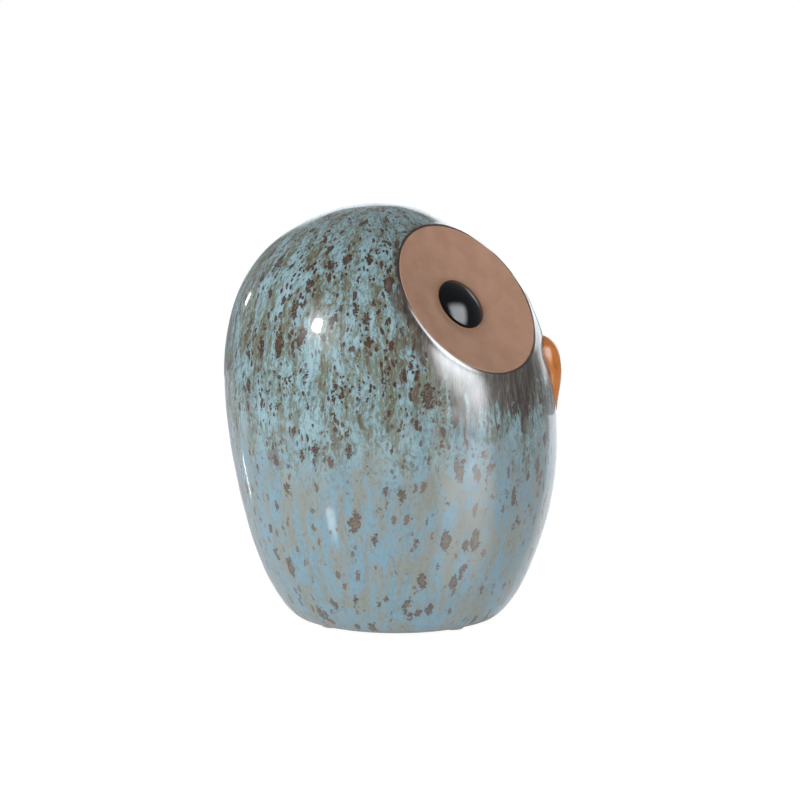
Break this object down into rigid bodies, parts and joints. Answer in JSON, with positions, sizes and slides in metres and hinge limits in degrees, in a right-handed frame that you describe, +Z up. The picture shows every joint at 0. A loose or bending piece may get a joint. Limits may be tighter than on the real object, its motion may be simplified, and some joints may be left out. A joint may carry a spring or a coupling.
{
  "type": "owl coin bank",
  "caption": "Owl-shaped glazed stoneware money bank with set-in clay eye dishes, domed pupils, an applied beak, a coin slot behind the head and a rubber stopper underneath.",
  "frame": {"origin": "on the surface the bank stands on, under the middle of the whole bank", "axes": "+Z up, the owl looks along -Y, its left side is +X"},
  "size_m": [0.1306, 0.1329, 0.165],
  "materials": {
    "glazed_body": "glossy speckled reactive glaze, turquoise over brown",
    "bare_clay": "unglazed terracotta, matt",
    "black_glaze": "glossy black glaze",
    "orange_glaze": "glossy orange glaze",
    "stopper_rubber": "soft black rubber",
    "pad_rubber": "clear-grey silicone"
  },
  "bodies": {
    "bank": {"body_shell": "glazed_body", "left_eye_dish": "bare_clay", "right_eye_dish": "bare_clay", "left_pupil": "black_glaze", "right_pupil": "black_glaze", "beak": "orange_glaze", "foot_pads": "pad_rubber"},
    "stopper": {"stopper": "stopper_rubber"}
  },
  "joints": [
    {"name": "stopper_pull", "type": "slide", "parent": "bank", "child": "stopper", "axis": [0, 0, -1], "range_m": [0, 0.03]}
  ]
}
